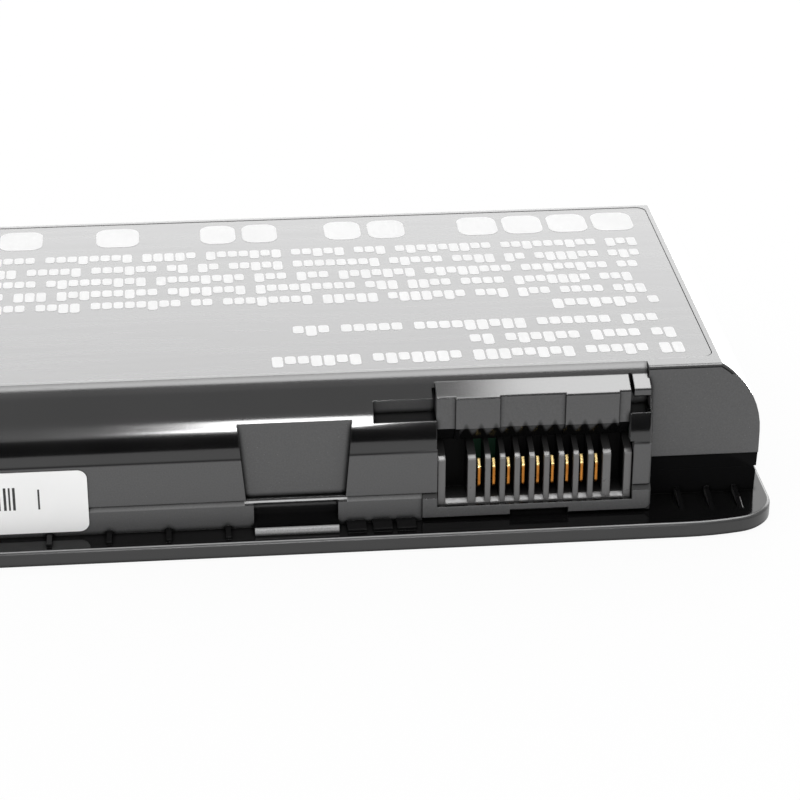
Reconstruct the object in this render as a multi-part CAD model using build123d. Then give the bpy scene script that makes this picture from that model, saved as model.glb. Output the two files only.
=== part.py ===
from build123d import *
import math
import os

# Laptop battery pack: nine cylindrical cells in three rows of three, in a two-part moulded case.
# Units are millimetres. X runs along the pack, +Y to its back, +Z up.
# The origin is under the middle of the pack, on its flat bottom.

# Cells and the room they need
cell_diameter = 18.4
cell_length = 65.0
cell_rows = 3
cell_columns = 3
cell_gap = 0.1
link_gap = 1.2
front_room = 6.8
back_gap = 0.3
end_gap = 0.5
head_gap = 0.5

# Case walls and outer form
wall = 1.5
floor_thickness = 1.6
roof_thickness = 1.6
shoulder_radius = 12.3
front_rise = 9.9
end_rise = 10.4
corner_radius = 3.0
parting_height = 6.45
parting_groove_width = 0.8
parting_groove_depth = 0.35
lip_thickness = 0.7
lip_height = 1.0
lip_clearance = 0.1

# Flange of the bottom plate
flange_front = 4.0
flange_side = 1.9
flange_thickness = 2.3
flange_sweep_long = 13.0
flange_sweep_short = 7.0
flange_tip_radius = 6.3
flange_back_radius = 4.0
flange_top_edge = 0.5
flange_bottom_edge = 0.2
foot_rib_pitch = 7.93
foot_rib_width = 0.7
foot_rib_height = 0.5
foot_rib_reach = 3.0
foot_rib_from_latch = 9.2
foot_rib_from_end = 6.0

# Connector and its bay
connector_from_end = 30.6
contact_count = 9
contact_pitch = 2.0
contact_width = 0.4
contact_thickness = 0.3
contact_setback = 2.0
contact_height = 4.2
contact_lift = 0.9
contact_head_rise = 0.8
contact_bend_radius = 0.5
fin_thickness = 0.75
end_fin_thickness = 1.1
fin_front_height = 6.1
fin_top_run = 0.6
fin_top_rise = 0.42
fin_top_round = 0.3
fin_back_height = 7.8
connector_left = 13.75
connector_right = 12.55
connector_post_width = 1.0
connector_base = 1.6
connector_sill_run = 0.6
connector_sill_rise = 0.45
connector_setback = 0.55
connector_back_wall = 1.1
connector_window_height = 4.3
contact_tail_clearance = 0.1
bay_play = 0.15
bay_seat_height = 3.3
bay_bar_height = 4.3
bay_bar_thickness = 0.45
hood_bottom = 13.0
hood_top = 20.05
hood_setback = 0.8
hood_slope = 24.0
hood_edge = 0.3
hood_lip_depth = 1.9
hood_lip_height = 2.5
hood_left = 14.0
hood_right = 12.15
panel_relief = 0.25
panel_edges = (-11.4, -5.5, 3.4, 10.6)
surround_left = 15.9
surround_proud = 0.25
surround_chamfer = 0.9
surround_undercut = 0.2
surround_undercut_depth = 0.65
surround_roll = 0.3
bar_notch_width = 8.0
bar_notch_height = 1.2
bar_notch_depth = 1.6

# Slots beside the hood
slot_bottom = 16.9
slot_top = 19.5
slot_depth = 3.8
slot_backing = 1.2
slit_width = 0.45
slit_top = 20.7
left_slot_width = 8.4
lug_bottom = 19.0
lug_gap = 0.5
lug_setback = 1.2

# Stepped block at the end beside the connector
block_from_plug = 14.9
post_right = 15.2
post_edge = 0.5
block_setback = 3.2
block_bottom = 8.85
block_edge = 0.5
block_reach = 12.0
undercut_setback = 3.5
undercut_draft = 8.0
floor_rib_offsets = (19.8, 23.9, 27.8)
floor_rib_width = 0.7
floor_rib_height = 1.1
floor_rib_reach = 5.0

# Latch recess and the finger scoop under it
latch_from_plug = 32.95
latch_bottom_width = 13.4
latch_top_width = 15.2
latch_depth = 1.0
latch_backing = 1.5
scoop_width = 11.3
scoop_radius = 2.6
scoop_axis_height = 5.6
scoop_axis_proud = 0.6
scoop_top = 5.9
scoop_backing = 1.4
scoop_lip_reach = 2.4
scoop_lip_height = 0.9
scoop_lip_round = 0.7
step_offsets = (24.9, 21.4, 18.2)
step_width = 2.6
step_depth = 2.6
step_height = 0.5

# Circuit board, its parts and its seat
board_tail = 8.7
board_height = 12.2
board_thickness = 1.0
board_setback = 5.5
board_lift = 1.6
board_right_margin = 13.6
paper_thickness = 0.2
board_slot_clearance = 0.15
board_post_width = 4.0
board_post_wall = 1.0
board_post_height = 3.2
board_post_clearance = 0.1
board_post_shares = (0.27, 0.5, 0.7, 0.9)

# Components on the board: place from the connector, height, and size along X, Z and Y
component_draft = 8.0
components = {
    "gauge_chip": (-62.0, 9.5, (9.7, 4.4, 1.1)),
    "protection_chip": (-49.0, 9.5, (5.0, 4.4, 1.1)),
    "charge_transistor": (-24.0, 10.5, (4.9, 3.9, 1.5)),
    "discharge_transistor": (-17.5, 10.5, (4.9, 3.9, 1.5)),
    "sense_resistor": (-76.0, 9.5, (6.3, 3.2, 0.8)),
    "safety_fuse": (-88.0, 9.0, (5.4, 3.8, 1.3)),
}

# Conductors
strip_thickness = 0.2
strip_width = 8.0
lead_width = 2.4
lead_overlap = 5.0
tab_reach = 0.9
strip_overhang = 4.0
end_paper_margin = 2.0

# Supports inside the lower case
tape_thickness = 0.4
tape_width = 8.0
ridge_width = 1.2
ridge_height = 3.0
end_rib_width = 1.4
end_rib_height = 9.0
end_rib_clearance = 0.3
support_root = 0.5

# Stickers
label_inset = 0.7
label_thickness = 0.15
label_recess = 0.2
label_clearance = 0.1
label_corner = 1.5
sticker_length = 40.0
sticker_height = 9.2
sticker_bottom = 2.95
sticker_from_plug = 60.6
sticker_thickness = 0.1
sticker_corner = 1.3

# How far a cut runs past the surface it opens
overshoot = 1.0

# Worked out from the sizes above
pack_height = floor_thickness + tape_thickness + cell_diameter + head_gap + roof_thickness
cell_axis_height = floor_thickness + tape_thickness + cell_diameter / 2
row_pitch = cell_diameter + cell_gap
column_pitch = cell_length + link_gap
cells_length = cell_columns * cell_length + (cell_columns - 1) * link_gap
body_depth = front_room + cell_rows * row_pitch - cell_gap + back_gap + wall
end_shoulder = pack_height - end_rise
end_room = shoulder_radius + end_gap - math.sqrt(
    (shoulder_radius - wall) ** 2 - (cell_axis_height + cell_diameter / 2 - end_shoulder) ** 2
)
body_length = cells_length + 2 * end_room
right = body_length / 2
front = -(body_depth - flange_front) / 2
back = front + body_depth
plug_x = right - connector_from_end
latch_x = plug_x - latch_from_plug
block_left = plug_x + block_from_plug
row_centres = [front + front_room + cell_diameter / 2 + row * row_pitch for row in range(cell_rows)]
column_starts = [column * column_pitch - cells_length / 2 for column in range(cell_columns)]
contact_places = [(index - (contact_count - 1) / 2) * contact_pitch for index in range(contact_count)]
board_front = front + board_setback
board_back = board_front + board_thickness
board_bottom = floor_thickness + board_lift
board_top = board_bottom + board_height
board_right = plug_x + board_right_margin
board_left = column_starts[0] + cell_length - board_tail
connector_floor = bay_seat_height + connector_base
bay_left = connector_left + bay_play
bay_right = connector_right + bay_play
post_x = plug_x + post_right
hood_pitch = math.tan(math.radians(hood_slope))
hood_ridge = hood_top + (slot_depth - hood_setback) * hood_pitch


def block(x, y, z):
    """Box between the limits given along X, Y and Z."""
    sizes = [high - low for low, high in (x, y, z)]
    middle = [(high + low) / 2 for low, high in (x, y, z)]
    return Pos(*middle) * Box(*sizes)


def by_plug(low, high):
    """Limits along X, measured from the middle of the connector."""
    return plug_x + low, plug_x + high


def by_front(low, high):
    """Limits along Y, measured back from the front face."""
    return front + low, front + high


def arched_profile(low, high, rise, inset, top, bottom):
    """Section with upright sides and a rounded shoulder that breaks into a flat top."""
    shoulder = pack_height - rise
    radius = shoulder_radius - inset
    sweep = math.asin((top - shoulder) / radius)
    outline = []
    ends = []
    for edge, side in ((low, 1), (high, -1)):
        centre = edge + side * shoulder_radius
        foot = (edge + side * inset, shoulder)
        middle = (centre - side * radius * math.cos(sweep / 2), shoulder + radius * math.sin(sweep / 2))
        crease = (centre - side * radius * math.cos(sweep), top)
        outline.append(Line((foot[0], bottom), foot))
        outline.append(ThreePointArc(foot, middle, crease))
        ends.append((crease, (foot[0], bottom)))
    outline.append(Line(ends[0][0], ends[1][0]))
    outline.append(Line(ends[0][1], ends[1][1]))
    return make_face(outline)


def end_prism(inset, top, bottom, y):
    """The lengthwise section, carried along Y between two limits."""
    section = Plane.XZ * arched_profile(-right, right, end_rise, inset, top, bottom)
    return Pos(0, y[1], 0) * extrude(section, y[1] - y[0])


def plan_prism(inset, z):
    """The rounded rectangle of the body seen from above, between two heights."""
    outline = RectangleRounded(
        body_length - 2 * inset, body_depth - 2 * inset, max(corner_radius - inset, wall / 2)
    )
    return Pos(0, (front + back) / 2, z[0]) * extrude(outline, z[1] - z[0])


def case_form(inset, top, bottom):
    """The body's outer or inner form: two arched sections and a rounded plan that meet."""
    across = Plane.YZ * arched_profile(front, back, front_rise, inset, top, bottom)
    form = extrude(across, right, both=True)
    form &= end_prism(inset, top, bottom, (front, back))
    return form & plan_prism(inset, (bottom, top))


def along_front(section, low, high):
    """A section of the front, carried along X between limits measured from the connector."""
    return extrude(Plane((plug_x + low, front, 0), (0, 1, 0), (1, 0, 0)) * section, high - low)


def undercut_wall(inset, height):
    """Distance of the leaning wall under the end block from the front, at one height."""
    lean = math.radians(undercut_draft)
    return undercut_setback + inset / math.cos(lean) + (block_bottom - height) * math.tan(lean)


def undercut(inset, z):
    """Space under the end block, in front of a wall that leans in towards the flange."""
    section = Polygon(
        (-overshoot, z[0]),
        (undercut_wall(inset, z[0]), z[0]),
        (undercut_wall(inset, z[1]), z[1]),
        (-overshoot, z[1]),
        align=None,
    )
    return along_front(section, post_right - inset, right + overshoot - plug_x)


def lip_ring(inset, thickness, height, play):
    """Tongue round the parting line, left out where the front is stepped and opened."""
    z = (parting_height, parting_height + height)
    ring = plan_prism(inset, z) - plan_prism(inset + thickness, z)
    stepped = block(
        (latch_x - latch_top_width + play, right + overshoot),
        by_front(-overshoot, undercut_wall(wall, parting_height) - play),
        z,
    )
    return ring - stepped


def latch_cut():
    """Shallow tapered recess in the front, open towards the parting line."""
    height = slot_top - parting_height
    slope = (latch_top_width - latch_bottom_width) / (slot_bottom - parting_height)
    top = latch_bottom_width + slope * height
    outline = Polygon(
        (-latch_bottom_width / 2, 0),
        (latch_bottom_width / 2, 0),
        (top / 2, height),
        (-top / 2, height),
        align=None,
    )
    section = Plane((latch_x, front + latch_depth, parting_height), (1, 0, 0), (0, -1, 0)) * outline
    return extrude(section, latch_depth + overshoot)


def hood_section(setback, bottom, lip_depth, lip_height):
    """Upright front, cut back under its foot, with a roof that climbs back into the shoulder."""
    outline = Polygon(
        (setback + lip_depth, bottom),
        (slot_depth, bottom),
        (slot_depth, hood_ridge),
        (setback, hood_top + (setback - hood_setback) * hood_pitch),
        (setback, bottom + lip_height),
        align=None,
    )
    brow = outline.vertices().sort_by(Axis.X)[:2].sort_by(Axis.Y)[-1]
    return fillet(brow, hood_edge)


def hood():
    """Roof over the connector with a front of five upright panels, and a lug beside it."""
    edges = (-hood_left, *panel_edges, hood_right)
    roof = None
    for index, (low, high) in enumerate(zip(edges, edges[1:])):
        relief = panel_relief * ((index + 1) % 2)
        panel = hood_section(hood_setback + relief, hood_bottom, hood_lip_depth, hood_lip_height)
        solid = along_front(panel, low, high)
        roof = solid if roof is None else roof + solid
    lug = hood_section(lug_setback, lug_bottom, hood_edge, hood_edge)
    return roof + along_front(lug, hood_right + lug_gap, block_from_plug)


def end_block():
    """Plain block beside the connector, carried forward under the flat top."""
    y = by_front(block_setback, block_reach)
    solid = end_prism(0, pack_height, parting_height, y)
    solid &= block((block_left, right), y, (block_bottom, pack_height))
    face = solid.faces().sort_by(Axis.Y)[0]
    rim = face.edges().filter_by(lambda edge: edge.center().Z > block_bottom + overshoot)
    rim = rim.filter_by(lambda edge: edge.center().X > block_left + overshoot)
    return fillet(rim, block_edge)


def upper_cavity():
    """Hollow of the upper case, with plastic left behind each recess of the front."""
    bottom = parting_height - overshoot
    top = pack_height - roof_thickness
    hollow = case_form(wall, top, bottom)
    half = latch_top_width / 2 + latch_backing
    z = (bottom, pack_height)
    hollow -= block((latch_x - half, latch_x + half), by_front(0, latch_depth + latch_backing), z)
    slots_left = -hood_left - left_slot_width - slot_backing
    slot_z = (slot_bottom - slot_backing, pack_height)
    slot_y = by_front(0, slot_depth + slot_backing)
    hollow -= block(by_plug(slots_left, block_from_plug + slot_backing), slot_y, slot_z)
    hollow -= block((block_left - wall, right), by_front(0, block_setback + wall), z)
    return hollow - undercut(wall, (bottom, block_bottom + wall))


def upper_case():
    """Upper shell: rounded shoulders, flat top, and the stepped and opened front."""
    shell = case_form(0, pack_height, parting_height)
    tall = (parting_height, pack_height)
    shell -= block((post_x, right + overshoot), by_front(-overshoot, block_setback), tall)
    side = shell.faces().sort_by(lambda face: abs(face.center().X - post_x))[0]
    shell = fillet(side.edges().sort_by(Axis.Y)[:2], post_edge)
    shell += end_block()
    shell -= undercut(0, (parting_height, block_bottom))
    shell -= latch_cut()
    hood_x = by_plug(-hood_left, hood_right)
    slot_y = by_front(-overshoot, slot_depth)
    shell -= block(hood_x, slot_y, (hood_bottom, hood_top))
    shell -= block(by_plug(-hood_left - left_slot_width, -hood_left), slot_y, (slot_bottom, slot_top))
    shell -= block(by_plug(hood_right, block_from_plug), slot_y, (slot_bottom, lug_bottom))
    shell -= block(by_plug(-hood_left - slit_width, -hood_left), slot_y, (slot_top, slit_top))
    shell -= block(by_plug(hood_right, hood_right + lug_gap), slot_y, (lug_bottom, hood_ridge))
    shell -= upper_cavity()
    shell += hood()
    bay_y = by_front(-overshoot, board_setback)
    shell -= block(by_plug(-bay_left, bay_right), bay_y, (parting_height, hood_bottom))
    shell -= lip_ring(wall - lip_thickness - lip_clearance, wall, lip_height + lip_clearance, lip_clearance)
    return shell - label_sheet(label_recess, 0, pack_height - label_recess)


def flange_plate():
    """Bottom plate whose front edge sweeps back into the rounded ends."""
    side = right + flange_side
    nose = front - flange_front
    turn = nose + flange_sweep_short
    straight = side - flange_sweep_long
    heel = side - flange_back_radius
    tail = back - flange_back_radius
    tip = side - flange_tip_radius
    run = flange_sweep_long - flange_tip_radius
    drop = flange_sweep_short - flange_tip_radius
    sweep = (run**2 / drop + flange_sweep_short + flange_tip_radius) / 2
    bend = math.degrees(math.atan2(tip - straight, sweep - flange_sweep_short))
    outline = [
        Line((-straight, nose), (straight, nose)),
        CenterArc((straight, nose + sweep), sweep, 270, bend),
        CenterArc((tip, turn), flange_tip_radius, 270 + bend, 90 - bend),
        Line((side, turn), (side, tail)),
        CenterArc((heel, tail), flange_back_radius, 0, 90),
        Line((heel, back), (-heel, back)),
        CenterArc((-heel, tail), flange_back_radius, 90, 90),
        Line((-side, tail), (-side, turn)),
        CenterArc((-tip, turn), flange_tip_radius, 180, 90 - bend),
        CenterArc((-straight, nose + sweep), sweep, 270 - bend, bend),
    ]
    plate = extrude(make_face(outline), flange_thickness)
    plate = chamfer(plate.edges().group_by(Axis.Z)[0], flange_bottom_edge)
    return fillet(plate.edges().group_by(Axis.Z)[-1], flange_top_edge)


def parting_groove():
    """Sloped groove round the top of the lower case, deepest at the parting line."""
    z = (parting_height - parting_groove_width, parting_height)
    lean = math.degrees(math.atan2(parting_groove_depth, parting_groove_width))
    core = RectangleRounded(body_length, body_depth, corner_radius)
    core = extrude(core, parting_groove_width, taper=lean)
    return plan_prism(0, z) - Pos(0, (front + back) / 2, z[0]) * core


def lower_cavity():
    """Hollow of the lower case, with plastic left behind the scoop, the seat and the undercut."""
    z = (floor_thickness, parting_height + overshoot)
    hollow = plan_prism(wall, z)
    half = scoop_width / 2 + scoop_backing
    depth = scoop_radius - scoop_axis_proud + scoop_backing
    hollow -= block((latch_x - half, latch_x + half), by_front(0, depth), z)
    hollow -= block(by_plug(-bay_left, bay_right), by_front(0, board_setback), (0, bay_seat_height))
    return hollow - undercut(wall, z)


def scoop():
    """Finger scoop under the latch recess: a round hollow cut off level at its top."""
    axis = Pos(latch_x, front - scoop_axis_proud, scoop_axis_height) * Rot(0, 90, 0)
    hollow = axis * Cylinder(scoop_radius, scoop_width)
    limit = scoop_width / 2
    y = by_front(-scoop_radius, scoop_radius)
    return hollow & block((latch_x - limit, latch_x + limit), y, (flange_thickness, scoop_top))


def scoop_lip():
    """Rounded sill that carries the scoop forward over the flange."""
    half = scoop_width / 2
    y = by_front(-scoop_lip_reach, scoop_radius)
    lip = block((latch_x - half, latch_x + half), y, (flange_thickness, flange_thickness + scoop_lip_height))
    edge = lip.edges().filter_by(Axis.X).group_by(Axis.Z)[-1].sort_by(Axis.Y)[0]
    return fillet(edge, scoop_lip_round)


def surround():
    """Frame of the lower case round the connector, leaning in at its top and rolled under its foot."""
    low = flange_thickness + surround_undercut
    section = Polygon(
        (-surround_proud, low),
        (wall, low),
        (wall, parting_height),
        (parting_groove_depth, parting_height),
        (-surround_proud, parting_height - parting_groove_width),
        align=None,
    )
    frame = along_front(section, -surround_left, post_right)
    corner = frame.edges().filter_by(Axis.Y).group_by(Axis.Z)[0].sort_by(Axis.X)[-1]
    frame = chamfer(corner, surround_chamfer)
    foot = frame.edges().filter_by(Axis.X).group_by(Axis.Z)[0].sort_by(Axis.Y)[0]
    return fillet(foot, surround_roll)


def surround_relief():
    """What is cut away under the frame: a rolled gap along its foot and a notch in the bar."""
    low = flange_thickness
    gap = block(
        by_plug(-surround_left, post_right),
        by_front(-overshoot, surround_undercut_depth - surround_proud),
        (low, low + surround_undercut),
    )
    half = bar_notch_width / 2
    notch = block(
        by_plug(-half, half),
        by_front(-overshoot, bar_notch_depth),
        (low, low + bar_notch_height),
    )
    return gap + notch


def foot_ribs():
    """Low ribs on the flange along the front wall, and small steps by the connector."""
    ribs = []
    foot = flange_thickness
    first = latch_x - foot_rib_from_latch
    count = int((first + right - foot_rib_from_end) / foot_rib_pitch) + 1
    for index in range(count):
        middle = first - index * foot_rib_pitch
        x = (middle - foot_rib_width / 2, middle + foot_rib_width / 2)
        ribs.append(block(x, by_front(-foot_rib_reach, wall), (foot, foot + foot_rib_height)))
    for offset in step_offsets:
        x = by_plug(-offset - step_width / 2, -offset + step_width / 2)
        ribs.append(block(x, by_front(-step_depth, wall), (foot, foot + step_height)))
    return ribs


def floor_ribs():
    """Three tapered ribs on the flange under the end block."""
    ribs = []
    root = front + undercut_wall(0, flange_thickness)
    for offset in floor_rib_offsets:
        outline = Polygon(
            (0, 0),
            (-floor_rib_reach, 0),
            (0, floor_rib_height),
            align=None,
        )
        place = Plane((plug_x + offset, root, flange_thickness), (0, 1, 0), (1, 0, 0))
        ribs.append(extrude(place * outline, floor_rib_width / 2, both=True))
    return ribs


def inner_supports():
    """Ridges between the rows, stops at the cell ends and the slotted posts of the board."""
    supports = []
    z = (floor_thickness - support_root, floor_thickness + ridge_height)
    for lower, upper in zip(row_centres, row_centres[1:]):
        middle = (lower + upper) / 2
        y = (middle - ridge_width / 2, middle + ridge_width / 2)
        supports.append(block((-cells_length / 2, cells_length / 2), y, z))
    stop = cells_length / 2 + strip_thickness + paper_thickness
    tip = right - wall - end_rib_clearance
    z = (floor_thickness - support_root, floor_thickness + end_rib_height)
    for centre in row_centres:
        y = (centre - end_rib_width / 2, centre + end_rib_width / 2)
        supports.append(block((stop, tip), y, z))
        supports.append(block((-tip, -stop), y, z))
    z = (floor_thickness - support_root, floor_thickness + board_post_height)
    play = board_post_clearance
    y = (board_front - play - board_post_wall, board_back + paper_thickness + play + board_post_wall)
    slot = (board_front - play, board_back + paper_thickness + play)
    for share in board_post_shares:
        middle = board_right - share * (board_right - board_left)
        x = (middle - board_post_width / 2, middle + board_post_width / 2)
        post = block(x, y, z)
        post -= block(x, slot, (board_bottom, z[1]))
        supports.append(post)
    return supports


def lower_case():
    """Lower shell: flanged plate, low walls, connector seat and the supports inside."""
    shell = flange_plate() + plan_prism(0, (flange_bottom_edge, parting_height))
    shell -= undercut(0, (flange_thickness, parting_height))
    shell -= parting_groove()
    shell += surround()
    shell -= scoop()
    shell += scoop_lip() - scoop()
    shell += foot_ribs()
    shell -= lower_cavity()
    bay_x = by_plug(-bay_left, bay_right)
    seat = (bay_seat_height, parting_height)
    shell -= block(bay_x, by_front(bay_bar_thickness, board_setback), seat)
    shell -= block(bay_x, by_front(-overshoot, board_setback), (bay_bar_height, parting_height))
    shell -= surround_relief()
    shell += floor_ribs()
    shell += inner_supports()
    return shell + lip_ring(wall - lip_thickness, lip_thickness, lip_height, 0)


def fin_section(front_height, back_height):
    """Upright fin seen from the side: a rounded nose and a top that climbs to the back."""
    nose = connector_setback
    outline = Polygon(
        (nose, -connector_sill_rise),
        (nose, front_height),
        (nose + fin_top_run, front_height + fin_top_rise),
        (board_setback, back_height),
        (board_setback, -connector_sill_rise),
        align=None,
    )
    blunt = outline.vertices().sort_by(Axis.X)[:2].sort_by(Axis.Y)[-1]
    return fillet(blunt, fin_top_round)


def connector_housing():
    """Comb-shaped housing: a base and back wall that carry upright fins between the contacts."""
    x = by_plug(-connector_left, connector_right)
    y = by_front(connector_setback, board_setback)
    base = Polygon(
        (connector_setback, bay_seat_height),
        (board_setback, bay_seat_height),
        (board_setback, connector_floor),
        (connector_setback + connector_sill_run, connector_floor),
        (connector_setback, connector_floor - connector_sill_rise),
        align=None,
    )
    housing = along_front(base, -connector_left, connector_right)
    back_y = (y[1] - connector_back_wall, y[1])
    back_top = connector_floor + fin_back_height
    housing += block(x, back_y, (connector_floor, back_top))
    end_fin = contact_places[-1] + contact_pitch / 2 + (end_fin_thickness - fin_thickness) / 2
    fins = [(place + contact_pitch / 2, fin_thickness) for place in contact_places[:-1]]
    fins += [(-end_fin, end_fin_thickness), (end_fin, end_fin_thickness)]
    half_post = connector_post_width / 2
    fins += [(half_post - connector_left, connector_post_width)]
    fins += [(connector_right - half_post, connector_post_width)]
    section = fin_section(fin_front_height, fin_back_height)
    for place, thickness in fins:
        side = Plane((plug_x + place, front, connector_floor), (0, 1, 0), (1, 0, 0))
        housing += extrude(side * section, thickness / 2, both=True)
    for place in contact_places:
        hole = contact_width / 2 + contact_tail_clearance
        low = connector_floor + contact_lift
        tail_z = (low, low + contact_thickness + contact_tail_clearance)
        housing -= block(by_plug(place - hole, place + hole), back_y, tail_z)
    gap = (contact_pitch - fin_thickness) / 2
    for place in contact_places[:2]:
        window = (back_top - connector_window_height, back_top)
        housing -= block(by_plug(place - gap, place + gap), back_y, window)
    return housing


def contact(place):
    """Bent spring contact: a foot through the back wall, an upright blade and a head bent back."""
    low = connector_floor + contact_lift + contact_thickness / 2
    top = connector_floor + contact_height
    route = FilletPolyline(
        (board_setback, low),
        (contact_setback, low),
        (contact_setback, top),
        (contact_setback + contact_head_rise, top + contact_head_rise),
        radius=contact_bend_radius,
    )
    side = Plane((plug_x + place, front, 0), (0, 1, 0), (1, 0, 0))
    blade = extrude(side * trace(route, contact_thickness), contact_width / 2, both=True)
    return blade & block(
        by_plug(place - contact_pitch, place + contact_pitch), by_front(0, board_setback), (0, pack_height)
    )


def cell(row, column):
    """Cylindrical cell in its wrap, lying along the pack."""
    middle = column_starts[column] + cell_length / 2
    can = Cylinder(cell_diameter / 2, cell_length)
    return Pos(middle, row_centres[row], cell_axis_height) * Rot(0, 90, 0) * can


def strip_limits():
    """Limits of the welded strips along Y, past the first and last row's centres."""
    return row_centres[0] - strip_overhang, row_centres[-1] + strip_overhang


def link_strip(column):
    """Folded strip that joins one column's buttons to the next column's cans."""
    y = strip_limits()
    near = column_starts[column] + cell_length + strip_thickness / 2
    far = near + link_gap - strip_thickness
    route = Polyline((near, y[0]), (near, y[1]), (far, y[1]), (far, y[0]))
    fold = trace(route, strip_thickness)
    strip = Pos(0, 0, cell_axis_height - strip_width / 2) * extrude(fold, strip_width)
    limits = block(
        (column_starts[column] + cell_length, column_starts[column] + column_pitch),
        (y[0], y[1] + strip_thickness),
        (0, pack_height),
    )
    tab = block(
        (near - strip_thickness / 2, near + strip_thickness / 2),
        (board_front - tab_reach, y[0] + overshoot),
        (board_top - lead_width, board_top),
    )
    return (strip & limits) + tab


def end_strip(side):
    """Strip on the outer end of a column, with a lead that turns along the front to the board."""
    y = strip_limits()
    face = cells_length / 2
    x = sorted((side * face, side * (face + strip_thickness)))
    plate_z = (cell_axis_height - strip_width / 2, cell_axis_height + strip_width / 2)
    lead_z = (board_top - lead_width, board_top)
    strip = block(x, y, plate_z)
    strip += block(x, (board_front - strip_thickness, y[0]), lead_z)
    inner = board_right - lead_overlap if side > 0 else board_left + lead_overlap
    lead_x = sorted((inner, side * (face + strip_thickness)))
    return strip + block(lead_x, (board_front - strip_thickness, board_front), lead_z)


def board_sheet(y, left, play):
    """Upright sheet behind the front wall, slotted from its top for the link strips."""
    sheet = block((left, board_right), y, (board_bottom, board_top))
    for start in column_starts[:-1]:
        x = start + cell_length
        slot = (x - play, x + strip_thickness + play)
        sheet -= block(slot, y, (board_top - lead_width - play, board_top))
    return sheet


def component(offset, height, size):
    """Flat component on the board's front face, with its edges drawn in towards the top."""
    length, width, thickness = size
    place = Plane((plug_x + offset, board_front, height), (1, 0, 0), (0, -1, 0))
    return extrude(place * Rectangle(length, width), thickness, taper=component_draft)


def end_paper(side):
    """Insulating paper between an end strip and the stops of the case."""
    inner = cells_length / 2 + strip_thickness
    x = sorted((side * inner, side * (inner + paper_thickness)))
    low, high = strip_limits()
    y = (low + end_paper_margin, high + end_paper_margin)
    reach = cell_diameter / 2 - end_paper_margin
    return block(x, y, (cell_axis_height - reach, cell_axis_height + reach))


def tape(row):
    """Strip of tape on the floor that a row of cells lies on."""
    y = (row_centres[row] - tape_width / 2, row_centres[row] + tape_width / 2)
    top = floor_thickness + tape_thickness
    return block((-cells_length / 2, cells_length / 2), y, (floor_thickness, top))


def label_sheet(thickness, inset, bottom):
    """Rounded sheet on the flat top, set in from the creases of the shoulders."""
    end_crease = shoulder_radius - math.sqrt(shoulder_radius**2 - end_rise**2)
    front_crease = shoulder_radius - math.sqrt(shoulder_radius**2 - front_rise**2)
    margin = label_inset + inset
    sheet = RectangleRounded(
        body_length - 2 * (end_crease + margin), body_depth - 2 * (front_crease + margin), label_corner
    )
    return Pos(0, (front + back) / 2, bottom) * extrude(sheet, thickness)


def front_sticker():
    """Paper sticker on the front face, across the parting line."""
    sheet = RectangleRounded(sticker_length, sticker_height, sticker_corner)
    middle = plug_x - sticker_from_plug - sticker_length / 2
    place = Plane((middle, front, sticker_bottom + sticker_height / 2), (1, 0, 0), (0, -1, 0))
    return extrude(place * sheet, sticker_thickness)


nodes = {
    "upper_case": upper_case(),
    "lower_case": lower_case(),
    "connector_housing": connector_housing(),
    "circuit_board": board_sheet((board_front, board_back), board_left, board_slot_clearance),
    "board_insulator": board_sheet(
        (board_back, board_back + paper_thickness), board_left, board_slot_clearance
    ),
    "negative_strip": end_strip(-1),
    "positive_strip": end_strip(1),
    "end_paper_left": end_paper(-1),
    "end_paper_right": end_paper(1),
    "rating_label": label_sheet(label_thickness, label_clearance, pack_height - label_recess),
    "front_sticker": front_sticker(),
}
for name, (offset, height, size) in components.items():
    nodes[name] = component(offset, height, size)
for index, place in enumerate(contact_places):
    nodes[f"contact_{index + 1}"] = contact(place)
for column in range(cell_columns):
    for row in range(cell_rows):
        nodes[f"cell_{column * cell_rows + row + 1}"] = cell(row, column)
for column in range(cell_columns - 1):
    nodes[f"link_strip_{column + 1}"] = link_strip(column)
for row in range(cell_rows):
    nodes[f"cell_tape_{row + 1}"] = tape(row)

os.makedirs("parts", exist_ok=True)
for name, solid in nodes.items():
    export_step(solid, f"parts/{name}.step")
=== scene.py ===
import math
import random

import bmesh
import bpy
from mathutils import Matrix, Vector


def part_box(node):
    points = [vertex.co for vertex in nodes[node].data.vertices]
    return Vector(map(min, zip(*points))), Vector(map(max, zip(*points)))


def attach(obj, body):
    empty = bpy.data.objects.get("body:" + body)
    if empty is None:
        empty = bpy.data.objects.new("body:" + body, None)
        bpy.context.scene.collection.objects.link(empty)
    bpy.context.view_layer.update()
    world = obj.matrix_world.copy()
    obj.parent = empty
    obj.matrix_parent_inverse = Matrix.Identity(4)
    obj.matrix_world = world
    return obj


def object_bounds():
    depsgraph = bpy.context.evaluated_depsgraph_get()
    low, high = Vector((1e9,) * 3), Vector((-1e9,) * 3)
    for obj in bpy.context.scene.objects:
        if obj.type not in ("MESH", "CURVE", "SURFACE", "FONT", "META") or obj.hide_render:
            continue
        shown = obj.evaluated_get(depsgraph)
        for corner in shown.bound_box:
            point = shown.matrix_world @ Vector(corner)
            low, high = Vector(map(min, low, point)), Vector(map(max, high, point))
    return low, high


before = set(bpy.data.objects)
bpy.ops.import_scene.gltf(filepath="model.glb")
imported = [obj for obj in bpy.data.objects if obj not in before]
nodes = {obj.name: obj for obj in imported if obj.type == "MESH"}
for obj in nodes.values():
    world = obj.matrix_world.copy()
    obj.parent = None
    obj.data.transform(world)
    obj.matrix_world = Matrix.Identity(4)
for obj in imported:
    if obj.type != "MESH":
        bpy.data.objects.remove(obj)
cad_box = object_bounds()
MM = 0.001

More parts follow.
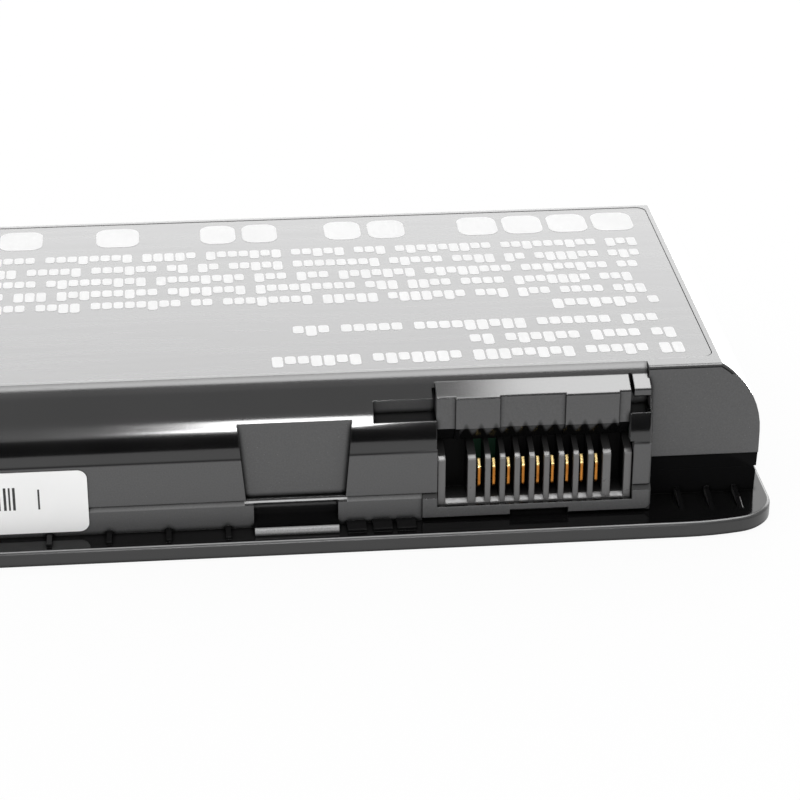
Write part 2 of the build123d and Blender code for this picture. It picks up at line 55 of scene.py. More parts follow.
# Places on the case, as in the part's source
LATCH_X = 41.04 * MM
PLUG_X = 73.99 * MM
CONTACT_PITCH = 2.0 * MM
END_BLOCK_X = 88.9 * MM
FRONT_FACE = -30.0 * MM
FRONT_ZONE = -20.0 * MM
FLANGE_TOP = 2.3 * MM
SCOOP_TOP = 5.9 * MM
GROOVE_TOP = 6.45 * MM
UNDERCUT_TOP = 8.7 * MM
# Height of a painted shade line across the front faces, at the foot of the shoulder
FOOT_SHADE_LINE = 12.7 * MM
HOOD_LIP = 14.8 * MM
TOP_STRIP = 22.2 * MM

# Reflection strengths of the moulded plastics
CASE_SHINE = 0.6
COMB_SHINE = 0.8

# Camera: taken from the photograph's vanishing lines, in the part's frame
CAMERA_TARGET = Vector((54.99, -30.0, 20.64)) * MM
CAMERA_DISTANCE = 343.3 * MM
CAMERA_YAW = math.radians(5.64)
CAMERA_PITCH = math.radians(26.78)
CAMERA_ROLL = math.radians(0.26)
CAMERA_LENS = 117.0
SENSOR = 36.0


class Surface:
    """A node material built round one Principled shader, with object-space textures."""

    def __init__(self, name, colour, roughness, **constants):
        self.material = bpy.data.materials.new(name)
        self.material.use_nodes = True
        self.tree = self.material.node_tree
        self.shader = self.tree.nodes["Principled BSDF"]
        self.coordinates = self.tree.nodes.new("ShaderNodeTexCoord")
        self.place = self.coordinates.outputs["Object"]
        self.shader.inputs["Base Color"].default_value = (*colour, 1.0)
        self.shader.inputs["Roughness"].default_value = roughness
        for socket, value in constants.items():
            self.shader.inputs[socket.replace("_", " ")].default_value = value
        self.relief = None

    def add(self, kind, **settings):
        made = self.tree.nodes.new(kind)
        for key, value in settings.items():
            setattr(made, key, value)
        return made

    def link(self, output, socket):
        self.tree.links.new(output, socket)

    def stretched(self, scale, turn=(0.0, 0.0, 0.0)):
        mapping = self.add("ShaderNodeMapping")
        self.link(self.place, mapping.inputs["Vector"])
        mapping.inputs["Scale"].default_value = scale
        mapping.inputs["Rotation"].default_value = turn
        return mapping.outputs["Vector"]

    def noise(self, scale, detail=2.0, rough=0.5, turn=(0.0, 0.0, 0.0)):
        texture = self.add("ShaderNodeTexNoise")
        self.link(self.stretched(scale, turn), texture.inputs["Vector"])
        texture.inputs["Scale"].default_value = 1.0
        texture.inputs["Detail"].default_value = detail
        texture.inputs["Roughness"].default_value = rough
        return texture.outputs["Fac"]

    def spread(self, value, low, high, to_low, to_high):
        ramp = self.add("ShaderNodeMapRange")
        self.link(value, ramp.inputs["Value"])
        limits = {"From Min": low, "From Max": high, "To Min": to_low, "To Max": to_high}
        for socket, number in limits.items():
            ramp.inputs[socket].default_value = number
        return ramp.outputs["Result"]

    def mix(self, factor, first, second):
        blend = self.add("ShaderNodeMix", data_type="RGBA")
        self.link(factor, blend.inputs["Factor"])
        for socket, colour in ((blend.inputs["A"], first), (blend.inputs["B"], second)):
            if isinstance(colour, tuple):
                socket.default_value = (*colour, 1.0)
            else:
                self.link(colour, socket)
        return blend.outputs["Result"]

    def sums(self, first, second, operation="ADD"):
        made = self.add("ShaderNodeMath", operation=operation)
        self.link(first, made.inputs[0])
        if isinstance(second, float):
            made.inputs[1].default_value = second
        else:
            self.link(second, made.inputs[1])
        return made.outputs["Value"]

    def all_of(self, *masks):
        """1 only where every mask is 1."""
        made = masks[0]
        for mask in masks[1:]:
            made = self.sums(made, mask, "MULTIPLY")
        return made

    def any_of(self, *masks):
        """The largest of several masks."""
        made = masks[0]
        for mask in masks[1:]:
            made = self.sums(made, mask, "MAXIMUM")
        return made

    def without(self, mask):
        """1 where a mask is 0, and 0 where it is 1."""
        return self.spread(mask, 0.0, 1.0, 1.0, 0.0)

    def above(self, value, edge, soft):
        """0 up to an edge, rising to 1 over a soft width."""
        return self.spread(value, edge, edge + soft, 0.0, 1.0)

    def below(self, value, edge, soft):
        """1 up to an edge, falling to 0 over a soft width."""
        return self.spread(value, edge, edge + soft, 1.0, 0.0)

    def near(self, value, centre, reach, soft):
        """1 within a distance of a centre, falling to 0 over a soft width."""
        return self.below(self.off(value, centre), reach, soft)

    def part_of(self, output, axis):
        split = self.add("ShaderNodeSeparateXYZ")
        self.link(output, split.inputs["Vector"])
        return split.outputs[axis]

    def off(self, value, centre):
        """Distance from a centre, to either side."""
        shifted = self.sums(value, -centre)
        made = self.add("ShaderNodeMath", operation="ABSOLUTE")
        self.link(shifted, made.inputs[0])
        return made.outputs["Value"]

    def upright(self, low, high):
        """1 on faces that stand upright, falling to 0 as they tilt."""
        tilt = self.off(self.part_of(self.coordinates.outputs["Normal"], "Z"), 0.0)
        return self.spread(tilt, low, high, 1.0, 0.0)

    def crevices(self, reach):
        """Ambient occlusion used to paint shade: 0 in inner corners and narrow gaps, 1 on open faces."""
        nook = self.add("ShaderNodeAmbientOcclusion", samples=6)
        nook.inputs["Distance"].default_value = reach
        return self.spread(nook.outputs["AO"], 0.55, 0.95, 0.0, 1.0)

    def colour(self, output):
        self.link(output, self.shader.inputs["Base Color"])

    def shine(self, output, level):
        """Full reflections at 1, and nearly none where the value falls to 0."""
        self.link(self.spread(output, 0.0, 1.0, 0.02, level), self.shader.inputs["Specular IOR Level"])

    def roughness(self, output):
        self.link(output, self.shader.inputs["Roughness"])

    def rounded(self, radius):
        """Softens hard edges by shading them as small rounds."""
        bevel = self.add("ShaderNodeBevel", samples=4)
        bevel.inputs["Radius"].default_value = radius
        self.set_relief(bevel.outputs["Normal"])

    def bump(self, height, distance, strength=1.0):
        made = self.add("ShaderNodeBump")
        self.link(height, made.inputs["Height"])
        made.inputs["Distance"].default_value = distance
        made.inputs["Strength"].default_value = strength
        if self.relief is not None:
            self.link(self.relief, made.inputs["Normal"])
        self.set_relief(made.outputs["Normal"])

    def set_relief(self, output):
        self.relief = output
        self.link(output, self.shader.inputs["Normal"])


class CasePlaces:
    """Coordinates and plain masks that the case's finish is built from."""

    def __init__(self, skin):
        normal = skin.coordinates.outputs["Normal"]
        self.along = skin.part_of(skin.place, "X")
        self.depth = skin.part_of(skin.place, "Y")
        self.height = skin.part_of(skin.place, "Z")
        self.tilt = skin.part_of(normal, "Z")
        self.facing = skin.off(skin.part_of(normal, "Y"), 0.0)
        self.walls = skin.above(self.height, FLANGE_TOP, 0.06 * MM)
        self.behind = skin.above(self.depth, FRONT_FACE - 0.4 * MM, 0.1 * MM)
        self.front = skin.below(self.depth, FRONT_ZONE, MM)
        self.level = skin.without(skin.upright(0.95, 0.99))


def parting_groove(skin, at):
    """Slope of the parting groove, and the stretch of it under the latch that is dulled but for a streak."""
    slope = skin.all_of(skin.above(at.tilt, 0.3, 0.05), skin.below(at.tilt, 0.45, 0.05))
    groove = skin.all_of(slope, skin.below(at.height, GROOVE_TOP, 0.05 * MM))
    latch = skin.near(at.along, LATCH_X, 6.85 * MM, 0.1 * MM)
    streak = skin.spread(skin.off(at.height, 6.08 * MM), 0.1 * MM, 0.16 * MM, 0.7, 1.0)
    ledge = skin.all_of(skin.above(at.height, 5.6 * MM, 0.05 * MM), groove, latch, streak)
    return skin.all_of(groove, skin.without(latch)), ledge


def finger_scoop(skin, at):
    """The scoop under the latch, and its brim, where a highlight is painted."""
    across = skin.near(at.along, LATCH_X, 5.65 * MM, 0.05 * MM)
    scoop = skin.all_of(across, at.front, skin.below(at.height, SCOOP_TOP, 0.02 * MM), at.walls)
    return scoop, skin.all_of(scoop, skin.below(at.depth, -31.8 * MM, 0.1 * MM))


def comb_shade(skin, at):
    """Painted reflection of the comb: pale fingers on the hood's lip over the fins, and painted dark lobes
    between them over the contacts.
    """
    wave = skin.add("ShaderNodeMath", operation="COSINE")
    turn = skin.sums(skin.sums(at.along, -PLUG_X), 2.0 * math.pi / CONTACT_PITCH, "MULTIPLY")
    skin.link(turn, wave.inputs[0])
    edge = skin.spread(wave.outputs["Value"], -1.0, 1.0, 14.2 * MM, 15.9 * MM)
    clear = skin.above(skin.sums(at.height, edge, "SUBTRACT"), -0.5 * MM, MM)
    across = skin.near(at.along, PLUG_X, 10.4 * MM, 0.5 * MM)
    comb = skin.all_of(across, skin.near(at.height, HOOD_LIP, 1.85 * MM, 0.05 * MM), at.front)
    # Painted reflection on the lip: paler above the fins, with painted shade in lobes above the contacts.
    lip = skin.all_of(skin.below(at.tilt, -0.6, 0.2), comb, clear)
    return lip, skin.all_of(comb, skin.without(clear))


def faces_clear_of_painted_shade(skin, at, painted_lobe_shade):
    """0 where shade is painted: in crevices, on a line across the front faces and on the lobes over the
    comb, 1 elsewhere.
    """
    # Painted shade: a dark line across the upright front faces at the foot of the shoulder.
    line = skin.spread(skin.off(at.height, FOOT_SHADE_LINE), 0.0, 0.3 * MM, 0.25, 1.0)
    outer = skin.below(at.depth, FRONT_FACE + 0.1 * MM, 0.1 * MM)
    outer = skin.all_of(outer, at.behind, skin.above(at.facing, 0.98, 0.01))
    line = skin.any_of(line, skin.without(outer))
    top = skin.all_of(skin.above(at.height, TOP_STRIP, 0.05 * MM), skin.above(at.depth, 0.0, MM))
    # Painted shade from ambient occlusion darkens crevices and the line, but not the top strip at the back.
    made = skin.any_of(skin.all_of(skin.crevices(0.7 * MM), line), top)
    # Painted shade also falls on the lobes over the comb's gaps.
    return skin.all_of(made, skin.spread(painted_lobe_shade, 0.0, 1.0, 1.0, 0.1))


def dull_faces(skin, at, ledge, scoop, brim):
    """1 where the plastic hardly reflects: ribs, flange top, undercut, hood lip, latch ledge and scoop."""
    ribs = skin.all_of(skin.spread(at.behind, 0.0, 1.0, 0.9, 0.0), at.walls, skin.without(brim))
    cove = skin.all_of(skin.above(at.along, END_BLOCK_X, 0.2 * MM), at.front, at.walls)
    cove = skin.all_of(cove, skin.below(at.height, UNDERCUT_TOP, 0.1 * MM), skin.above(at.facing, 0.8, 0.1))
    plate = skin.all_of(skin.spread(at.level, 0.0, 1.0, 0.0, 0.85), skin.without(at.walls))
    under = skin.below(at.tilt, -0.6, 0.3)
    return skin.any_of(ribs, plate, under, ledge, cove, skin.all_of(scoop, skin.without(brim)))


def case_plastic(name, dark, light, matte, gloss, satin):
    """Moulded plastic: polished shoulders and flange, grained upright faces, cloudy sheen and scratches,
    with painted shade in crevices, along a line across the front and over the comb's gaps, and painted
    reflections and highlights on the hood's lip and in the finger scoop.
    """
    skin = Surface(name, dark, gloss, IOR=1.58, Specular_IOR_Level=CASE_SHINE)
    at = CasePlaces(skin)
    groove, ledge = parting_groove(skin, at)
    scoop, brim = finger_scoop(skin, at)
    lip, painted_lobe_shade = comb_shade(skin, at)
    clear_of_painted_shade = faces_clear_of_painted_shade(skin, at, painted_lobe_shade)
    # The lip takes the paler grained colour above the fins as a painted reflection of the comb.
    upright = skin.any_of(skin.upright(0.02, 0.05), groove, lip)
    upright = skin.all_of(upright, at.walls, at.behind, skin.without(scoop))
    # Painted sheen: the scoop turns to the paler grained colour towards its top.
    painted_scoop_sheen = skin.all_of(scoop, skin.spread(at.height, 4.0 * MM, SCOOP_TOP, 0.0, 0.6))
    upright = skin.any_of(upright, painted_scoop_sheen, brim)

    cloud = skin.noise((70.0, 70.0, 70.0), 4.0)
    grain = skin.noise((5200.0, 5200.0, 5200.0), 2.0)
    dust = skin.noise((6500.0, 6500.0, 6500.0), 1.0)
    polished = skin.mix(skin.spread(cloud, 0.3, 0.7, 0.0, 1.0), dark, light)
    grained = skin.mix(skin.spread(grain, 0.35, 0.65, 0.0, 1.0), matte, tuple(1.25 * part for part in matte))
    grained = skin.mix(skin.spread(dust, 0.76, 0.8, 0.0, 0.6), grained, (0.3, 0.3, 0.3))
    # Painted highlight: a grainy pale band along the scoop's brim.
    painted_light = skin.all_of(brim, skin.spread(grain, 0.35, 0.65, 0.6, 1.0))
    grained = skin.mix(painted_light, grained, (0.24, 0.24, 0.24))
    # Near black where shade is painted: in crevices, on the line across the front and over the comb's gaps.
    skin.colour(skin.mix(clear_of_painted_shade, (0.003, 0.003, 0.003), skin.mix(upright, polished, grained)))
    dull = dull_faces(skin, at, ledge, scoop, brim)
    skin.shine(skin.all_of(clear_of_painted_shade, skin.without(dull)), CASE_SHINE)

    rub = skin.noise((60.0, 900.0, 900.0), 5.0, 0.65, (0.25, 0.0, 0.12))
    hairs = skin.noise((260.0, 5200.0, 5200.0), 2.0, 0.5, (0.5, 0.2, -0.3))
    rim = skin.all_of(skin.spread(at.walls, 0.0, 1.0, 0.2, 0.0), skin.without(at.level))
    sheen = skin.spread(cloud, 0.25, 0.75, gloss - 0.01, gloss + 0.02)
    for more in (
        skin.spread(rub, 0.6, 0.8, 0.0, 0.03),
        skin.spread(hairs, 0.7, 0.78, 0.0, 0.06),
        rim,
        skin.spread(at.tilt, -0.6, -0.3, 0.1, 0.0),
        skin.spread(at.height, TOP_STRIP, TOP_STRIP + 0.2 * MM, 0.0, 0.16),
        skin.spread(upright, 0.0, 1.0, 0.0, satin - gloss),
    ):
        sheen = skin.sums(sheen, more)
    skin.roughness(sheen)
    skin.rounded(0.16 * MM)
    skin.bump(skin.all_of(grain, skin.spread(upright, 0.0, 1.0, 0.5, 1.0)), 0.004 * MM, 0.5)
    skin.bump(skin.spread(hairs, 0.7, 0.78, 1.0, 0.0), 0.003 * MM, 0.15)
    return skin.material


def film(name, dark, light):
    """Satin printed film: faint mottling, long rub marks, very fine orange peel."""
    skin = Surface(name, dark, 0.3, IOR=1.52, Specular_IOR_Level=0.7)
    mottle = skin.noise((45.0, 45.0, 45.0), 5.0)
    skin.colour(skin.mix(skin.spread(mottle, 0.3, 0.7, 0.0, 1.0), dark, light))
    rub = skin.noise((40.0, 700.0, 40.0), 4.0, 0.6, (0.0, 0.0, 0.2))
    skin.roughness(skin.spread(rub, 0.3, 0.8, 0.26, 0.31))
    skin.bump(skin.noise((1500.0, 1500.0, 1500.0), 2.0), 0.003 * MM, 0.5)
    return skin.material


def paper(name, shade, stain):
    """Pressed paper: fibres, faint stain and a soft matte finish."""
    skin = Surface(name, shade, 0.75)
    cloud = skin.noise((90.0, 90.0, 90.0), 5.0)
    skin.colour(skin.mix(skin.spread(cloud, 0.35, 0.75, 0.0, 1.0), shade, stain))
    fibre = skin.noise((2500.0, 900.0, 2500.0), 4.0, 0.6, (0.3, 0.4, 0.2))
    skin.roughness(skin.spread(fibre, 0.3, 0.7, 0.65, 0.85))
    skin.bump(fibre, 0.006 * MM, 0.5)
    return skin.material


def metal(name, shade, tint, rough, along):
    """Rolled metal: drawn lines along one way, with a little tarnish."""
    skin = Surface(name, shade, rough, Metallic=1.0)
    skin.rounded(0.03 * MM)
    tarnish = skin.noise((400.0, 400.0, 400.0), 4.0)
    skin.colour(skin.mix(skin.spread(tarnish, 0.45, 0.8, 0.0, 1.0), shade, tint))
    lines = skin.noise(along, 3.0)
    skin.roughness(skin.spread(lines, 0.3, 0.7, rough - 0.06, rough + 0.1))
    skin.bump(lines, 0.003 * MM, 0.4)
    return skin.material


def gilt_contact(head):
    """Gilt spring: a head painted bright as a highlight above a darker blade, with a little tarnish."""
    skin = Surface("contact_gold", (0.5, 0.2, 0.04), 0.22, Metallic=1.0)
    skin.rounded(0.18 * MM)
    tarnish = skin.spread(skin.noise((400.0, 400.0, 400.0), 4.0), 0.45, 0.8, 0.0, 1.0)
    blade = skin.mix(tarnish, (0.5, 0.2, 0.04), (0.32, 0.11, 0.02))
    # Painted highlight: the head is coloured bright from just below its top.
    painted_head_highlight = skin.spread(skin.part_of(skin.place, "Z"), head - 0.25 * MM, head + 0.15 * MM, 0.0, 1.0)
    skin.colour(skin.mix(painted_head_highlight, blade, (1.0, 0.74, 0.32)))
    lines = skin.noise((2500.0, 2500.0, 300.0), 3.0)
    skin.roughness(skin.spread(lines, 0.3, 0.7, 0.16, 0.32))
    skin.bump(lines, 0.003 * MM, 0.4)
    return skin.material


def board_green():
    """Solder-masked board: woven glass under the mask, and paler traces."""
    skin = Surface("board_mask", (0.004, 0.05, 0.02), 0.35, IOR=1.5, Specular_IOR_Level=0.15)
    traces = skin.add("ShaderNodeTexBrick", offset=0.3)
    skin.link(skin.stretched((60.0, 60.0, 300.0)), traces.inputs["Vector"])
    traces.inputs["Scale"].default_value = 2.0
    traces.inputs["Mortar Size"].default_value = 0.03
    skin.colour(skin.mix(traces.outputs["Fac"], (0.004, 0.05, 0.02), (0.012, 0.09, 0.035)))
    weave = skin.noise((900.0, 900.0, 900.0), 2.0)
    skin.roughness(skin.spread(weave, 0.3, 0.7, 0.28, 0.45))
    skin.bump(weave, 0.01 * MM, 0.3)
    return skin.material


def moulded(name, dark, light, rough):
    """Plain moulded body: fine grain and slightly uneven sheen."""
    skin = Surface(name, dark, rough, IOR=1.55)
    cloud = skin.noise((300.0, 300.0, 300.0), 3.0)
    skin.colour(skin.mix(cloud, dark, light))
    skin.roughness(skin.spread(cloud, 0.3, 0.7, rough - 0.06, rough + 0.08))
    skin.rounded(0.15 * MM)
    skin.bump(skin.noise((4000.0, 4000.0, 4000.0), 2.0), 0.004 * MM, 0.6)
    return skin.material


def comb_plastic(name, painted_shade_colour, painted_light, rough):
    """Moulded comb: fine grain, with painted light on the noses and the sill at the front and on the fin
    tops, and painted shade further back.
    """
    skin = Surface(name, painted_shade_colour, rough, IOR=1.58, Specular_IOR_Level=COMB_SHINE)
    cloud = skin.noise((900.0, 900.0, 900.0), 3.0)
    depth = skin.sums(skin.part_of(skin.place, "Y"), skin.spread(cloud, 0.3, 0.7, -0.1 * MM, 0.1 * MM))
    nose = skin.spread(depth, -29.2 * MM, -28.2 * MM, 1.0, 0.0)
    tilt = skin.part_of(skin.coordinates.outputs["Normal"], "Z")
    ridge = skin.all_of(skin.above(tilt, 0.1, 0.1), skin.spread(depth, -29.0 * MM, -25.0 * MM, 0.45, 0.0))
    # Painted light at the front and on the fin tops, and the shaded colour further back.
    skin.colour(skin.mix(skin.any_of(nose, ridge), painted_shade_colour, painted_light))
    skin.shine(nose, COMB_SHINE)
    skin.roughness(skin.spread(cloud, 0.3, 0.7, rough - 0.05, rough + 0.07))
    skin.rounded(0.25 * MM)
    skin.bump(skin.noise((4000.0, 4000.0, 4000.0), 2.0), 0.004 * MM, 0.5)
    return skin.material


def wrap():
    """Shrink wrap on a can: slight waviness and a long seam's sheen."""
    skin = Surface("cell_wrap", (0.01, 0.1, 0.075), 0.28, IOR=1.5)
    wave = skin.noise((30.0, 160.0, 160.0), 3.0)
    skin.colour(skin.mix(wave, (0.01, 0.1, 0.075), (0.02, 0.15, 0.11)))
    skin.roughness(skin.spread(wave, 0.3, 0.7, 0.22, 0.36))
    skin.bump(wave, 0.05 * MM, 0.3)
    return skin.material


looks = {
    "case": case_plastic(
        "case_plastic", (0.0038, 0.0038, 0.004), (0.0065, 0.0065, 0.0067), (0.053, 0.053, 0.054), 0.1, 0.48
    ),
    # The comb's two colours stand for painted shade further in and painted light at the front.
    "connector": comb_plastic("connector_plastic", (0.006, 0.0059, 0.0059), (0.085, 0.083, 0.083), 0.32),
    "label": film("label_film", (0.014, 0.014, 0.0144), (0.02, 0.02, 0.0205)),
    "sticker": paper("sticker_paper", (0.95, 0.95, 0.945), (0.91, 0.91, 0.905)),
    # Contacts are painted bright as a highlight above this height.
    "gold": gilt_contact(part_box("contact_1")[1].z - 0.95 * MM),
    "nickel": metal("strip_nickel", (0.66, 0.64, 0.6), (0.5, 0.48, 0.44), 0.3, (200.0, 3000.0, 3000.0)),
    "board": board_green(),
    "chip": moulded("chip_body", (0.014, 0.014, 0.015), (0.022, 0.022, 0.023), 0.42),
    "wrap": wrap(),
    "insulator": paper("insulating_paper", (0.32, 0.34, 0.27), (0.24, 0.26, 0.2)),
    "tape": paper("foam_tape", (0.7, 0.67, 0.57), (0.6, 0.56, 0.46)),
}
node_looks = {
    "upper_case": "case",
    "lower_case": "case",
    "connector_housing": "connector",
    "circuit_board": "board",
    "rating_label": "label",
    "front_sticker": "sticker",
}
name_starts = (
    ("contact", "gold"),
    ("cell_tape", "tape"),
    ("cell", "wrap"),
    ("link_strip", "nickel"),
    ("negative_strip", "nickel"),
    ("positive_strip", "nickel"),
    ("end_paper", "insulator"),
    ("board_insulator", "insulator"),
)
for name, node in nodes.items():
    look = node_looks.get(name)
    if look is None:
        look = next((made for start, made in name_starts if name.startswith(start)), "chip")
    node.data.materials.clear()
    node.data.materials.append(looks[look])


def flat_piece(name, outlines, origin, across, up, lift, look):
    """Thin printed patches: closed outlines laid on a flat face, just clear of it."""
    mesh = bpy.data.meshes.new(name)
    shape = bmesh.new()
    normal = across.cross(up)
    for outline in outlines:
        corners = [origin + across * u + up * v + normal * lift for u, v in outline]
        shape.faces.new([shape.verts.new(corner) for corner in corners])
    shape.to_mesh(mesh)
    shape.free()
    piece = bpy.data.objects.new(name, mesh)
    bpy.context.scene.collection.objects.link(piece)
    mesh.materials.append(look)
    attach(piece, "root")


def round_bar(u, v, length, height, radius, steps=3):
    """Outline of a bar with rounded ends, from its lower left corner."""
    radius = min(radius, length / 2, height / 2)
    corners = (
        (u + length - radius, v + radius, -90),
        (u + length - radius, v + height - radius, 0),
        (u + radius, v + height - radius, 90),
        (u + radius, v + radius, 180),
    )
    outline = []
    for x, y, start in corners:
        for step in range(steps + 1):
            turn = math.radians(start + 90 * step / steps)
            outline.append((x + radius * math.cos(turn), y + radius * math.sin(turn)))
    return outline


def row_of_marks(rng, low, high, v, height, pitch):
    """A line of plain upright marks in groups of uneven length between two limits."""
    marks = []
    u = low
    left = rng.randint(2, 9)
    while u < high - pitch:
        size = height * rng.choice((1.0, 0.72, 0.72))
        marks.append(round_bar(u, v + height - size, 0.84 * pitch, size, 0.4 * MM, 2))
        left -= 1
        u += pitch
        if left == 0:
            left = rng.randint(2, 9)
            u += 0.8 * pitch
    return marks


# Printed rows on the label: height above the label's front edge, mark height and pitch, and limits along X
rng = random.Random(7)
label_low, label_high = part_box("rating_label")
rows = (
    (1.6, 3.3, 1.75, 38.6, 95.0),
    (6.4, 3.3, 1.75, 66.0, 95.0),
    (11.1, 3.3, 1.75, 42.0, 95.0),
    (17.1, 3.2, 1.75, 79.0, 95.0),
    (21.5, 3.1, 1.6, -93.0, 94.5),
    (25.6, 3.1, 1.6, -93.0, 94.8),
    (29.7, 3.1, 1.6, -93.0, 95.0),
    (33.8, 3.1, 1.6, -93.0, 95.2),
    (38.2, 3.0, 1.6, -93.0, 95.2),
)
bars = []
for v, height, pitch, low, high in rows:
    bars += row_of_marks(rng, low * MM, high * MM, v * MM, height * MM, pitch * MM)

# Plain rounded fields along the label's back: place and length along X
FIELD_ROW = 44.0
FIELD_HEIGHT = 6.8
FIELD_ROUND = 1.8
fields = (
    (68.8, 5.9), (75.6, 5.9), (82.4, 5.9), (89.2, 6.1), (48.7, 5.4), (55.2, 5.5),
    (30.2, 5.2), (36.4, 5.2), (14.8, 6.3), (0.6, 6.3),
)
for place, length in fields:
    bars.append(round_bar(place * MM, FIELD_ROW * MM, length * MM, FIELD_HEIGHT * MM, FIELD_ROUND * MM, 5))
print_white = paper("print_white", (0.78, 0.78, 0.78), (0.73, 0.73, 0.73))
flat_piece(
    "label_print",
    bars,
    Vector((0.0, label_low.y, label_high.z)),
    Vector((1.0, 0.0, 0.0)),
    Vector((0.0, 1.0, 0.0)),
    0.015 * MM,
    print_white,
)

# Plain upright bars on the paper sticker
BARS_FROM = 2.4
BARS_TO = 30.4
LAST_BAR = 33.4
BAR_FOOT = 3.6
BAR_HEIGHT = 3.4
LAST_BAR_HEIGHT = 3.0
sticker_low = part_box("front_sticker")[0]
bars = []
u = BARS_FROM
while u < BARS_TO:
    width = rng.choice((0.25, 0.35, 0.55))
    bars.append(round_bar(u * MM, BAR_FOOT * MM, width * MM, BAR_HEIGHT * MM, 0.02 * MM, 1))
    u += width + rng.choice((0.3, 0.45, 0.7))
bars.append(round_bar(LAST_BAR * MM, BAR_FOOT * MM, 0.25 * MM, LAST_BAR_HEIGHT * MM, 0.02 * MM, 1))
ink = paper("sticker_ink", (0.02, 0.02, 0.02), (0.035, 0.035, 0.035))
flat_piece(
    "sticker_print",
    bars,
    sticker_low,
    Vector((1.0, 0.0, 0.0)),
    Vector((0.0, 0.0, 1.0)),
    0.012 * MM,
    ink,
)


def stage_plane(name, corners, material):
    mesh = bpy.data.meshes.new(name)
    mesh.from_pydata([Vector(corner) for corner in corners], [], [(0, 1, 2, 3)])
    plane = bpy.data.objects.new(name, mesh)
    bpy.context.scene.collection.objects.link(plane)
    mesh.materials.append(material)
    return plane


def seen_directly(tree):
    """1 for rays that show the background itself: camera, glossy and transmission rays."""
    path = tree.nodes.new("ShaderNodeLightPath")
    first = tree.nodes.new("ShaderNodeMath")
    first.operation = "MAXIMUM"
    second = tree.nodes.new("ShaderNodeMath")
    second.operation = "MAXIMUM"
    tree.links.new(path.outputs["Is Camera Ray"], first.inputs[0])
    tree.links.new(path.outputs["Is Glossy Ray"], first.inputs[1])
    tree.links.new(first.outputs["Value"], second.inputs[0])
    tree.links.new(path.outputs["Is Transmission Ray"], second.inputs[1])
    return second.outputs["Value"]


def pale_floor():
    """White table top that stays white to the eye and keeps a soft shadow."""
    material = bpy.data.materials.new("pale_floor")
    material.use_nodes = True
    tree = material.node_tree
    shader = tree.nodes["Principled BSDF"]
    shader.inputs["Base Color"].default_value = (0.85, 0.85, 0.85, 1.0)
    shader.inputs["Roughness"].default_value = 0.8
    glow = tree.nodes.new("ShaderNodeEmission")
    glow.inputs["Strength"].default_value = 1.0
    share = tree.nodes.new("ShaderNodeMath")
    share.operation = "MULTIPLY"
    share.inputs[1].default_value = 0.92
    tree.links.new(seen_directly(tree), share.inputs[0])
    mix = tree.nodes.new("ShaderNodeMixShader")
    tree.links.new(share.outputs["Value"], mix.inputs["Fac"])
    tree.links.new(shader.outputs["BSDF"], mix.inputs[1])
    tree.links.new(glow.outputs["Emission"], mix.inputs[2])
    tree.links.new(mix.outputs["Shader"], tree.nodes["Material Output"].inputs["Surface"])
    return material


reach = 6.0
floor_height = cad_box[0].z - 0.00005
stage_plane(
    "floor",
    [(x * reach, y * reach, floor_height) for x, y in ((-1, -1), (1, -1), (1, 1), (-1, 1))],
    pale_floor(),
)

world = bpy.data.worlds.new("studio")
bpy.context.scene.world = world
world.use_nodes = True
tree = world.node_tree
background = tree.nodes["Background"]
background.inputs["Color"].default_value = (1.0, 1.0, 1.0, 1.0)
level = tree.nodes.new("ShaderNodeMapRange")
tree.links.new(seen_directly(tree), level.inputs["Value"])
level.inputs["To Min"].default_value = 1.05
level.inputs["To Max"].default_value = 1.0
tree.links.new(level.outputs["Result"], background.inputs["Strength"])


def soft_box(name, place, target, width, height, radiance):
    """Rectangular lamp with a stated brightness, turned towards a point."""
    lamp = bpy.data.lights.new(name, "AREA")
    lamp.shape = "RECTANGLE"
    lamp.size = width
    lamp.size_y = height
    lamp.energy = radiance * math.pi * width * height
    box = bpy.data.objects.new(name, lamp)
    box.location = place
    box.rotation_euler = (Vector(target) - Vector(place)).to_track_quat("-Z", "Y").to_euler()
    box.visible_camera = False
    box.visible_diffuse = False
    bpy.context.scene.collection.objects.link(box)


# Lamps that light no face by diffuse light and are only mirrored: place, target, width, height and radiance
soft_box("back_box", (0.3, 1.2, 0.6), (0.3, 0.0, 0.6), 3.4, 1.2, 3.6)
soft_box("low_box", (0.556, 0.58, 0.003), (0.556, 0.58, 1.0), 0.888, 1.16, 9.0)
soft_box("top_box", (0.1, -0.115, 1.0), (0.1, -0.115, 0.0), 1.2, 0.47, 7.0)
soft_box("roof_box", (0.46, 0.28, 1.0), (0.46, 0.28, 0.0), 0.54, 0.3, 8.5)
soft_box("front_box", (0.095, -1.2, 0.37), (0.095, 0.0, 0.02), 0.11, 0.28, 28.0)
soft_box("front_strip", (0.113, -1.2, 0.27), (0.113, 0.0, 0.02), 0.198, 0.04, 24.0)


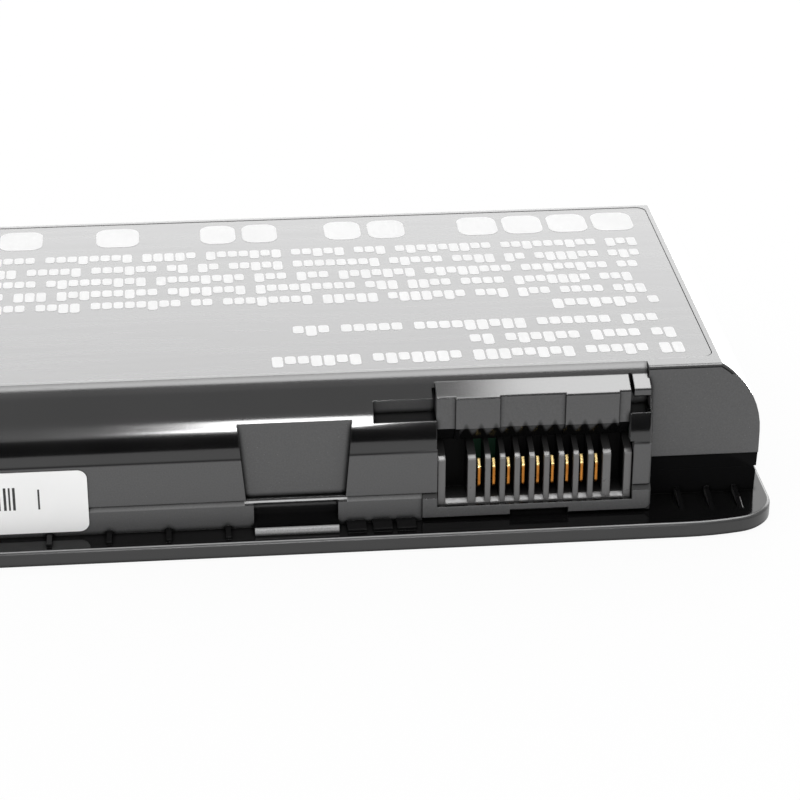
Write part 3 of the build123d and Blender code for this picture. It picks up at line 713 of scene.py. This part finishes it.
def grey_card(name, corners, level):
    """Card in front of the part, out of the picture, that only the glossy plastic mirrors."""
    material = bpy.data.materials.new(name)
    material.use_nodes = True
    tree = material.node_tree
    glow = tree.nodes.new("ShaderNodeEmission")
    glow.inputs["Strength"].default_value = level
    tree.links.new(glow.outputs["Emission"], tree.nodes["Material Output"].inputs["Surface"])
    plane = stage_plane(name, corners, material)
    plane.visible_camera = False
    plane.visible_diffuse = False
    plane.visible_shadow = False


CARD_REACH = 2.5
CARD_EDGE = 0.19
grey_card(
    "dark_card",
    [
        (-CARD_REACH, -1.25, CARD_EDGE),
        (CARD_REACH, -1.25, CARD_EDGE),
        (CARD_REACH, -0.105, 0.0),
        (-CARD_REACH, -0.105, 0.0),
    ],
    0.01,
)
grey_card(
    "room_card",
    [
        (-CARD_REACH, -1.3, CARD_EDGE),
        (CARD_REACH, -1.3, CARD_EDGE),
        (CARD_REACH, -1.3, 2.6),
        (-CARD_REACH, -1.3, 2.6),
    ],
    0.85,
)

forward = Vector(
    (
        math.sin(CAMERA_YAW) * math.cos(CAMERA_PITCH),
        math.cos(CAMERA_YAW) * math.cos(CAMERA_PITCH),
        -math.sin(CAMERA_PITCH),
    )
)
level_right = Vector((math.cos(CAMERA_YAW), -math.sin(CAMERA_YAW), 0.0))
level_up = level_right.cross(forward)
right = level_right * math.cos(CAMERA_ROLL) + level_up * math.sin(CAMERA_ROLL)
up = level_up * math.cos(CAMERA_ROLL) - level_right * math.sin(CAMERA_ROLL)
lens = bpy.data.cameras.new("camera")
lens.lens = CAMERA_LENS
lens.sensor_width = SENSOR
lens.sensor_fit = "HORIZONTAL"
lens.clip_start = 0.01
lens.clip_end = 50.0
camera = bpy.data.objects.new("camera", lens)
turn = Matrix((right, up, -forward)).transposed().to_4x4()
camera.matrix_world = Matrix.Translation(CAMERA_TARGET - forward * CAMERA_DISTANCE) @ turn
bpy.context.scene.collection.objects.link(camera)
bpy.context.scene.camera = camera
bpy.context.scene.view_settings.view_transform = "Standard"
